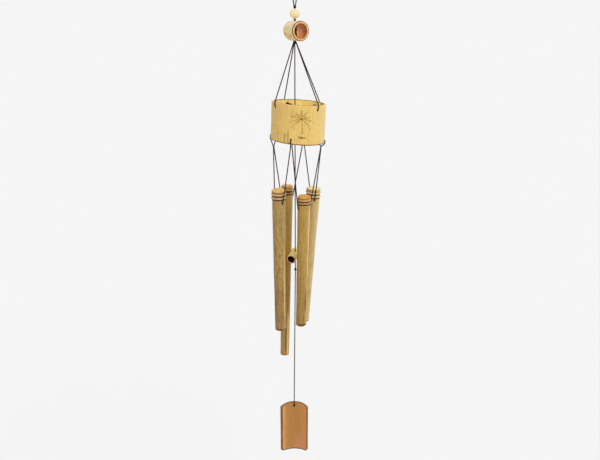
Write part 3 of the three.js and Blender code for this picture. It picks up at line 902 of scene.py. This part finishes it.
def add_striker():
    spec = STRIKER
    half, radius = spec["length"] / 2, spec["radius"]
    bore = radius - spec["wall"]
    septum = half - STRIKER_SEPTUM
    rows = [
        (0, septum, BORE), (bore - 1.2, septum, BORE), (bore, septum - 1.2, BORE),
        (bore, -half + 0.4, CUT), (bore + 0.4, -half, CUT), (radius - 0.4, -half, CUT),
        (radius, -half + 0.4, SKIN), (radius - 0.1, half - 3.4, SKIN),
        (radius + 0.1, half - 2.2, SKIN), (radius - 0.2, half - 0.6, SKIN),
        (radius - 0.6, half, CUT), (0, half, CUT),
    ]
    across_cane("striker_cane", spec, rows, CORD_HOLE, "striker",
                [STRIKER_SKIN, STRIKER_CUT, SHADED_BORE, BROWNED_AND_SHADED_EDGE, SHADED_HOLE], 5, ["striker"])
    path = route([(0, 0, STRIKER_TOP_KNOT_Z), (0, 0, STRIKER_KNOT_Z)], LONG_CORD_STEP)
    cord = cord_piece("striker_twine", path, "striker_cord", ["striker_cord"])
    inner = knot_piece("striker_inner_knot", (0, 0, spec["centre"][2]), STRIKER_INNER_KNOT_RADIUS,
                       "striker_cord")
    for node, z, radius in (("striker_top_knot", STRIKER_TOP_KNOT_Z, STRIKER_TOP_KNOT_RADIUS),
                            ("striker_knot", STRIKER_KNOT_Z, STRIKER_KNOT_RADIUS)):
        knot_piece(node, (0, 0, z), radius, node)


# ---- Ring ----

def slant_ring(p):
    """Leans the ring's two ends; the slant fades out towards its middle."""
    share = 2 * p.z / RING_HEIGHT
    p.z -= p.x * (RING_TOP_SLOPE * max(0, share) + RING_BOTTOM_SLOPE * max(0, -share))


def add_ring():
    half, edge = RING_HEIGHT / 2, RING_EDGE
    # The EDGE zones, the bottom bevel and the top face's inner part, take the ring's painted shade.
    rows = [
        (RING_INNER + 0.4, -half, CUT), (RING_RADIUS - edge, -half, EDGE),
        (RING_RADIUS - edge * 0.25, -half + edge * 0.3, EDGE), (RING_RADIUS, -half + edge, EDGE),
        (RING_RADIUS, -half + edge + 0.8, SKIN),
        (RING_RADIUS, half - edge, SKIN), (RING_RADIUS - edge * 0.25, half - edge * 0.3, SKIN),
        (RING_RADIUS - edge, half, CUT), (RING_INNER + 3.6, half, EDGE),
        (RING_INNER + 0.4, half, EDGE), (RING_INNER, half - 0.5, BORE),
        (RING_INNER, -half + 0.5, BORE),
    ]
    profile = stepped([*rows, rows[0]], RING_STEP)[:-1]
    points, faces, zones = revolved(profile, RING_SEGMENTS, closed=True)
    uneven(points, RING_UNEVENNESS, RING_SEED, RING_RADIUS)
    for p in points:
        slant_ring(p)
    obj = piece("ring_culm", [RING_PLACE @ p for p in points], faces, "canopy",
                [RING_SKIN, RING_CUT, RING_BORE, SHADED_RIM, SHADED_HOLE], zones, RING_PLACE,
                ["ring"])
    holes = [(a, top_rim(a) - UPPER_HOLE_INSET) for a in UPPER_HOLES.values()]
    holes += [(a, bottom_rim(a) + inset) for a, inset, _ in LOWER_HOLES.values()]
    pins = [(ring_point(a, RING_INNER - 3, height), ring_point(a, RING_RADIUS + 3, height),
             CORD_HOLE) for a, height in holes]
    drill(obj, pins, RING_PLACE)


def ring_ribbon(points, faces, stroke, width):
    """Adds one tapering burnt stroke; its points are (across, up) on the ring's unrolled skin."""
    first, last = len(points), len(stroke) - 1
    for k, at in enumerate(stroke):
        ahead = stroke[min(k + 1, last)] - stroke[max(k - 1, 0)]
        side = Vector((-ahead.y, ahead.x)).normalized()
        half = width * (1 - 0.65 * k / last) / 2
        for offset in (-half, half):
            on_skin = at + side * offset
            angle = math.radians(PALM_AZIMUTH) + on_skin.x / RING_RADIUS
            points.append(about_z(RING_RADIUS, angle, on_skin.y))
    for k in range(last):
        a = first + 2 * k
        faces.append([a, a + 2, a + 3, a + 1])


def add_palm():
    """A palm drawn on the ring with a hot tip: drooping fronds with leaflets, trunk and ground."""
    points, faces = [], []
    crown = Vector((0, PALM_CROWN))
    shares = [n / PALM_STEPS for n in range(PALM_STEPS + 1)]

    def draw(stroke, kind):
        ring_ribbon(points, faces, stroke, PALM_STROKES[kind])

    for k, tilt in enumerate(PALM_FROND_TILTS):
        reach = PALM_FROND * (1 + 0.14 * math.sin(2.3 * k))
        lean = math.radians(tilt)
        frond = [crown + Vector((math.cos(lean), math.sin(lean))) * reach * t
                 - Vector((0, PALM_DROOP * t * t)) for t in shares]
        draw(frond, "frond")
        for n in range(3, PALM_STEPS + 1, 2):
            along = (frond[n] - frond[n - 1]).normalized()
            side = Vector((-along.y, along.x))
            for sign in (-1, 1):
                tip = frond[n] + (along * 0.5 + side * sign) * (3.4 - 0.16 * n)
                draw([frond[n], frond[n].lerp(tip, 0.6), tip], "leaflet")
    trunk = [crown + Vector((1.6 * math.sin(2.2 * t), -PALM_TRUNK * t)) for t in shares]
    draw(trunk[::-1], "trunk")
    ground = trunk[-1] + Vector((0, -4.2))
    for n, reach in enumerate((10.5, 7.5, 9)):
        start = ground + Vector((-reach / 2 + 0.8 * n, -0.7 * n))
        draw([start, start + Vector((reach / 2, 0.35)), start + Vector((reach, 0))], "ground")
    uneven(points, RING_UNEVENNESS, RING_SEED, RING_RADIUS)
    for p in points:
        out = Vector((p.x, p.y, 0)).normalized() * PALM_LIFT
        slant_ring(p)
        p += out
    piece("ring_palm", [RING_PLACE @ p for p in points], faces, "canopy", [BURNT_LINE],
          place=RING_PLACE)


def add_suspension():
    centre = Vector((0, 0, SUSPENSION_KNOT_Z))
    outside = RING_RADIUS + CORD_CLEARANCE
    for name, azimuth in UPPER_HOLES.items():
        hole_height = top_rim(azimuth) - UPPER_HOLE_INSET
        rim = ring_point(azimuth, outside, top_rim(azimuth) + 0.5)
        outward = Vector((rim.x, rim.y, 0)).normalized()
        knot_at = ring_point(azimuth, RING_INNER - GAP - STOPPER_KNOT_RADIUS, hole_height)
        path = route([
            centre + outward * FAN_START,
            centre + outward * FAN_OUT + Vector((0, 0, -FAN_DOWN)), rim,
            ring_point(azimuth, outside, hole_height), knot_at])
        strand = cord_piece(f"suspension_twine_{name}", path, "canopy",
                            [f"suspension_strand_{name}"])
        inward = (ring_point(azimuth, 0, 0) - ring_point(azimuth, 1, 0)).normalized()
        tied = knot_piece(f"stopper_knot_{name}", knot_at,
                          STOPPER_KNOT_RADIUS + STOPPER_KNOT_SWELL, "canopy", axis=inward,
                          turn=RANDOM.random())
        tail = route([knot_at, knot_at + Vector((TAIL_LENGTH, 0, -0.6))])
        cord_piece(f"stopper_tail_{name}", tail, "canopy")
    knot_piece("suspension_knot", centre, SUSPENSION_KNOT_RADIUS, "suspension_knot")


def strand_top(hole, outer):
    """The top of the strand that a loop's outer or inner leg carries on into."""
    tops = [LAYOUTS[name]["strand_tops"][TUBES[name]["holes"].index(hole)]
            for name in TUBES if hole in TUBES[name]["holes"]]
    ring_middle = Vector(RING_CENTRE)
    tops.sort(key=lambda p: math.hypot(p.x - ring_middle.x, p.y - ring_middle.y))
    return tops[-1] if outer else tops[0]


def add_ring_loops():
    outside, inside = RING_RADIUS + CORD_CLEARANCE, RING_INNER - CORD_CLEARANCE
    for name, (azimuth, inset, _) in LOWER_HOLES.items():
        rim = bottom_rim(azimuth)
        hole_height, below = rim + inset, rim - CORD_CLEARANCE * 0.6
        path = route([
            strand_top(name, True), ring_point(azimuth, outside, below),
            ring_point(azimuth, outside, hole_height), ring_point(azimuth, inside, hole_height),
            ring_point(azimuth, inside, below), strand_top(name, False)])
        free_cord(f"ring_twine_{name}", path, "canopy", f"ring_loop_{name}")


# ---- Chime tubes ----

def hump(distance, width):
    """1 at no distance, falling away on both sides over about the width."""
    return math.exp(-(distance / width) ** 2)


def add_tube(name, seed):
    tube, place_of = TUBES[name], LAYOUTS[name]
    length = (place_of["bottom"] - place_of["top"]).length
    radius, end_radius = tube["radii"]
    lower = tube["ridges"][1]
    middle = sum(tube["ridges"]) / 2

    def outline(depth):
        reach = radius + (end_radius - radius) * depth / length
        for ridge, (height, scar, below, width) in zip(tube["ridges"], NODE_RIDGES):
            reach += height * hump(depth - ridge, 1.0) - scar * hump(depth - ridge - below, width)
        waist, waist_width = NODE_WAIST
        return reach - waist * hump(depth - middle, waist_width)

    depths = [0.5 + NODE_STEP * k for k in range(int((lower + NODE_CLEARANCE) / NODE_STEP))]
    while depths[-1] < length - 4:
        depths.append(depths[-1] + SHAFT_STEP)
    depths += [length - 1.7, length - 0.45]
    bore = end_radius - TUBE_WALL
    septum = lower + SEPTUM_BELOW_NODE
    rows = [(0, 0, CUT), (radius * 0.5, 0, CUT), (radius - 0.6, 0, CUT),
            (radius - 0.15, -0.2, EDGE)]
    rows += [(outline(depth), -depth, EDGE if depth == depths[-2] else SKIN) for depth in depths]
    rows += [
        (end_radius - 0.12, -length + 0.14, EDGE), (end_radius - 0.6, -length, CUT),
        (bore + 0.35, -length, CUT), (bore, -length + 0.4, BORE), (bore + 0.4, -length + 30, BORE),
        (bore + 1, -septum - 8, BORE), (bore - 0.5, -septum - 1.5, BORE),
        (bore - 2.5, -septum, BORE), (0, -septum, BORE),
    ]
    points, faces, zones = revolved(rows[::-1], TUBE_SEGMENTS)
    uneven(points, TUBE_UNEVENNESS, seed, radius)
    top_slope, end_slope = (math.tan(math.radians(slant)) for slant in tube["slants"])
    for p in points:
        top_share = min(1.0, max(0.0, 1 - (-p.z - septum) / TOP_SLANT_FADE))
        end_share = max(0.0, 1 - (length + p.z) / END_SLANT_FADE)
        p.z += p.y * (top_slope * top_share + end_slope * end_share)
    turn = Vector((0, 0, -1)).rotation_difference(place_of["down"]).to_matrix().to_4x4()
    place = Matrix.Translation(place_of["top"]) @ turn
    node = f"chime_{name}"
    obj = piece(f"{node}_cane", [place @ p for p in points], faces, node,
                [TUBE_SKINS[name], TUBE_CUTS[name], SHADED_BORE, BROWNED_AND_SHADED_EDGE, SHADED_HOLE],
                zones, place, [node])
    reach = place_of["hole_axis"] * (radius + 3)
    centre = place_of["hole_centre"]
    drill(obj, [(centre - reach, centre + reach, CORD_HOLE)], place)


def add_tube_cords(name):
    place_of = LAYOUTS[name]
    radius = TUBES[name]["radii"][0]
    centre, axis = place_of["hole_centre"], place_of["hole_axis"]
    wall_reach = radius - 1.2
    through = route([centre - axis * wall_reach, centre + axis * wall_reach])
    cord_piece(f"cross_twine_{name}", through, f"chime_{name}", [f"cross_cord_{name}"])
    for side, sign, top in zip(("left", "right"), (-1, 1), place_of["strand_tops"]):
        path = route([top, centre + axis * sign * (radius + CORD_CLEARANCE),
                      centre + axis * sign * wall_reach])
        strand = f"{name}_{side}"
        free_cord(f"strand_twine_{strand}", path, f"cords_{name}", f"strand_{strand}")


# ---- Sail ----

def sail_side(along):
    """The sail's half width at a height above its bottom, with the crown left out."""
    return SAIL_WIDTH / 2 - max(0.0, SAIL_BOTTOM_CORNER - along)


def sail_fall(share):
    """How far the arched top edge lies below the crown's middle, share running from -1 to 1."""
    return SAIL_CROWN * abs(share) ** 3


def add_sail():
    """A plate split from wide culm: hollow face to the front, worn skin at the back."""
    heights = [0, 0.15, SAIL_EDGE, SAIL_BOTTOM_CORNER, SAIL_DARK_FOOT]
    while heights[-1] < SAIL_HEIGHT - 3:
        heights.append(heights[-1] + 2.0)
    heights += [SAIL_HEIGHT - SAIL_EDGE, SAIL_HEIGHT - 0.15, SAIL_HEIGHT]
    inner, outer = SAIL_RADIUS - SAIL_WALL, SAIL_RADIUS
    axis_y = CORD_CLEARANCE - inner
    points, rows = [], []
    for along in heights:
        half = sail_side(along)
        near_end = min(along, SAIL_HEIGHT - along)
        thin = SAIL_EDGE * max(0.0, 1 - near_end / SAIL_EDGE)
        row = []
        for radius, sign, zone in ((inner + thin, 1, BORE), (outer - thin, -1, SKIN)):
            limit = half - 0.2
            for k in range(SAIL_COLUMNS + 1):
                share = (2 * k / SAIL_COLUMNS - 1) * sign
                x = limit * share
                angle = math.asin(max(-0.999, min(0.999, x / outer)))
                wave = 0.22 * noise.noise(Vector((x * 0.12, radius * 0.3, along * 0.018)))
                r = radius + wave
                row.append((len(points), zone))
                fall = sail_fall(share) * along / SAIL_HEIGHT
                points.append(Vector((r * math.sin(angle), r * math.cos(angle), along - fall)))
        rows.append(row)
    faces, zones = [], []
    columns = len(rows[0])
    for along, lower, upper in zip(heights, rows, rows[1:]):
        for k in range(columns):
            n = (k + 1) % columns
            faces.append([lower[k][0], upper[k][0], upper[n][0], lower[n][0]])
            if along < SAIL_DARK_FOOT:
                zones.append(EDGE)
            else:
                zones.append(lower[k][1] if lower[k][1] == lower[n][1] else CUT)
    for row, up in ((rows[0], False), (rows[-1], True)):
        for k in range(SAIL_COLUMNS):
            a, b = row[k][0], row[k + 1][0]
            c, d = row[columns - 2 - k][0], row[columns - 1 - k][0]
            faces.append([a, b, c, d] if not up else [d, c, b, a])
            zones.append(CUT)
    place = Matrix.Translation((SAIL_X, axis_y, SAIL_TOP - SAIL_HEIGHT))
    obj = piece("sail_plate", [place @ p for p in points], faces, "sail",
                [SAIL_SKIN, SAIL_CUT, SAIL_FACE, BROWNED_AND_SHADED_EDGE, SHADED_HOLE], zones, place, ["sail"])
    front = Vector((SAIL_X, -4, SAIL_HOLE_Z))
    drill(obj, [(front, front + Vector((0, SAIL_WALL + 8, 0)), CORD_HOLE)], place)


def add_sail_cord():
    hitch = Vector((SAIL_X, 0, SAIL_HITCH_Z))
    path = route([(0, 0, STRIKER_KNOT_Z), hitch], LONG_CORD_STEP)
    free_cord("sail_twine", path, "sail_cord", "sail_cord")
    back = CORD_CLEARANCE + SAIL_WALL
    knot_at = Vector((SAIL_X, back + GAP + SAIL_KNOT_RADIUS, SAIL_HOLE_Z))
    hitch_path = route([hitch, (SAIL_X, 0, SAIL_HOLE_Z), knot_at])
    cord_piece("sail_hitch_twine", hitch_path, "sail", ["sail_hitch"])
    knot_piece("sail_knot", knot_at, SAIL_KNOT_RADIUS, "sail", axis=(0, 1, 0))
    hole, reach = Vector((SAIL_X, 0, SAIL_HOLE_Z)), SAIL_HITCH_TURN_RADIUS
    around_hole = [hole + Vector((math.sin(a), 0, math.cos(a))) * reach
                   for a in (*turn_angles(HOLE_SIDES), 2 * math.pi)]
    cord_piece("sail_hitch_turn", around_hole, "sail", radius=CORD / 4)


# ---- Materials ----

CORD_TWINE = twine("cord_twine", "4a3b38", "1f1614")
# Painted shade: the knots are the same cord as CORD_TWINE, painted darker.
SHADED_KNOT_TWINE = twine("shaded_knot_twine", "2e2220", "120b09")
RING_SKIN = skin(
    "ring_skin", lit_and_shaded_round_cane("e3c06c"), streak="c9a35a", blotch="b98d3e", blotchiness=0.3,
    marks=[(0.417, -22, 0.006, 15, "8e5a28", 0.55), (0.439, -20, 0.006, 16, "9c6430", 0.5),
           (0.389, -14, 0.004, 1.4, "6b431c", 0.7), (0.45, -25.5, 0.01, 2.0, "7d4f1e", 0.6)])
RING_CUT = end_grain("ring_cut", "f6e2a2", "e9c872", "b98a45")
RING_BORE = inner_wall("ring_bore", "fff0a8", "f2cd6c")
# Painted shade: the ring's bottom bevel and the inner part of its top face, in patchy brown.
SHADED_RIM = patchy_brown_and_shade("shaded_rim", "b07c40", "74481e")
# Edges and lips of tubes, toggle and the sail's foot: partly browned cane, partly painted shade where
# they turn from the light.
BROWNED_AND_SHADED_EDGE = patchy_brown_and_shade("browned_and_shaded_edge", "94602e", "4e2a10")
# Painted shade: the walls of every drilled hole are painted nearly black.
SHADED_HOLE = patchy_brown_and_shade("shaded_hole", "3a200e", "1c0f06")
BURNT_LINE = patchy_brown_and_shade("burnt_line", "c29a40", "8e6a20")
# Painted shade on the toggle's lower left, where turn 0.2 is darker and turn 0.1 has an orange-brown
# painted shadow; on the toggle, turn 0.5 faces up.
TOGGLE_SKIN = skin(
    "toggle_skin", [(0.0, "efe0b0"), (0.2, "e2c78e"), (0.35, "ecdab0"), (0.5, "f4e4b4"),
                    (0.7, "f2dea4"), (1.0, "efe0b0")], streak="b89058",
    blotch="a8652c", blotchiness=0.65,
    marks=[(0.2, 8, 0.03, 3, "7d4a20", 0.7), (0.16, -5, 0.03, 3, "8a5224", 0.6),
           (0.1, 0, 0.12, 14, "d09850", 0.5)])
TOGGLE_CUT = end_grain("toggle_cut", "edc18a", "d9a05e", "a86a34")
TOGGLE_BORE = inner_wall("toggle_bore", "dba05c", "a8642c")
TOGGLE_SEPTUM_FACE = septum_face("toggle_septum", "c9826a", "d98a44", "e8bc84", "3a180a")
STRIKER_SKIN = skin(
    "striker_skin", [(0.0, "ffe084"), (0.5, "ffe690"), (1.0, "ffe084")], streak="fff0c0",
    blotch="f0cc70", blotchiness=0.1, mottling=0.05)
STRIKER_CUT = end_grain("striker_cut", "e8b58c", "cf8a5a")
# Painted shade: the bores of the tubes and the striker are painted a near-black brown.
SHADED_BORE = inner_wall("shaded_bore", "5a2a12", "2a1006")
# Each tube's own colour, how far its foot leans, its ridges' colour and its mottling, its sawn
# end's two colours, and its marks, among them pale painted highlight stripes right of the front
TUBE_LOOKS = dict(
    # two stains, red-brown foot, painted highlight stripe
    front_left=("a98a4e", -0.25, "e2bf84", 0.4, ("f0cc7e", "d9a356"), [
        (0.55, -60, 0.02, 30, "8a6a2a", 0.4), (0.42, -95, 0.03, 14, "7a5a22", 0.5),
        (0.33, -200, 0.045, 45, "6a3010", 0.75), (0.64, -150, 0.025, 90, "f4d090", 0.7)]),
    # two stains, split, dark foot line, painted highlight strip
    front_right=("ae8a3e", -0.2, "cf9650", 0.22, ("e3ac5c", "cc8534"), [
        (0.45, -120, 0.02, 60, "7a4c10", 0.35), (0.54, -150, 0.015, 50, "7a4a10", 0.35),
        (0.625, -165, 0.014, 30, "4a240a", 0.85), (0.56, -200, 0.012, 14, "4a260c", 0.75),
        (0.68, -75, 0.035, 85, "f4cc80", 0.7)]),
    # one long stain
    back_right=("c2a468", 0.0, "e8d29a", 0.1, ("fbebb6", "ebcb80"), [
        (0.45, -60, 0.03, 60, "a8853c", 0.4)]),
    # knot in the grain, stain, dark foot, painted highlight stripe
    back_left=("b39345", -0.2, "c08844", 0.2, ("f0cd8a", "d9a55c"), [
        (0.54, -8.4, 0.07, 3.4, "7a1f10", 0.85), (0.47, -215, 0.01, 26, "4a2a0c", 0.7),
        (0.52, -262, 0.03, 34, "5e3a0e", 0.7), (0.6, -255, 0.025, 60, "f6cc90", 0.75)]))
# Heights of the thin line above a tube's node, and of the dark one below each ridge
LINE_ABOVE_NODE = 2.2
GROOVE_BELOW_RIDGE = 2.1
TUBE_SKINS, TUBE_CUTS = {}, {}
for tube_name, (own, foot_lean, ridge_colour, mottling, _, marks) in TUBE_LOOKS.items():
    ridges = TUBES[tube_name]["ridges"]
    ridge_bands = [(LINE_ABOVE_NODE - ridges[0], 0.8, "8a4a20", 0.6)]
    for ridge in ridges:
        ridge_bands += [(-ridge - GROOVE_BELOW_RIDGE, 1.7, "4e220c", 0.95),
                        (-ridge, 1.0, ridge_colour, 0.6)]
    TUBE_SKINS[tube_name] = skin(
        f"chime_{tube_name}_skin", lit_and_shaded_round_cane(own), lit_and_shaded_round_cane(own, foot_lean),
        mottling=mottling, marks=marks, bands=ridge_bands)
for tube_name, (_, _, _, _, (pith, rind), _) in TUBE_LOOKS.items():
    TUBE_CUTS[tube_name] = end_grain(f"chime_{tube_name}_cut", pith, rind, "8a5526")
SAIL_SKIN = skin("sail_skin", [(0.0, "b07c3c"), (0.5, "a87436"), (1.0, "b07c3c")])
SAIL_CUT = end_grain("sail_cut", "a8743c", "7a4c20")
# Painted shade on the hollow face's dark left and right edges, and a painted highlight in the pale
# stripe near its left edge.
SAIL_FACE = split_face(
    "sail_face",
    [(0.0, "683e16"), (0.075, "7a4c1c"), (0.12, "daa664"), (0.19, "b98444"), (0.35, "ae7a3e"),
     (0.6, "ad783c"), (0.8, "bc8248"), (0.94, "c08450"), (1.0, "70441a")],
    "c88460", "8a5a2a")
BEAD_WOOD = turned_wood("bead_wood", "f3e5b8", "d9be84")


# ---- The whole chime ----

add_stage()
add_lights()
add_camera()
add_hang_loop()
add_stem()
add_bead()
add_toggle()
add_suspension()
add_ring()
add_palm()
add_ring_loops()
for seed, tube_name in enumerate(TUBES, start=FIRST_TUBE_SEED):
    add_tube(tube_name, seed)
    add_tube_cords(tube_name)
add_striker()
add_sail()
add_sail_cord()
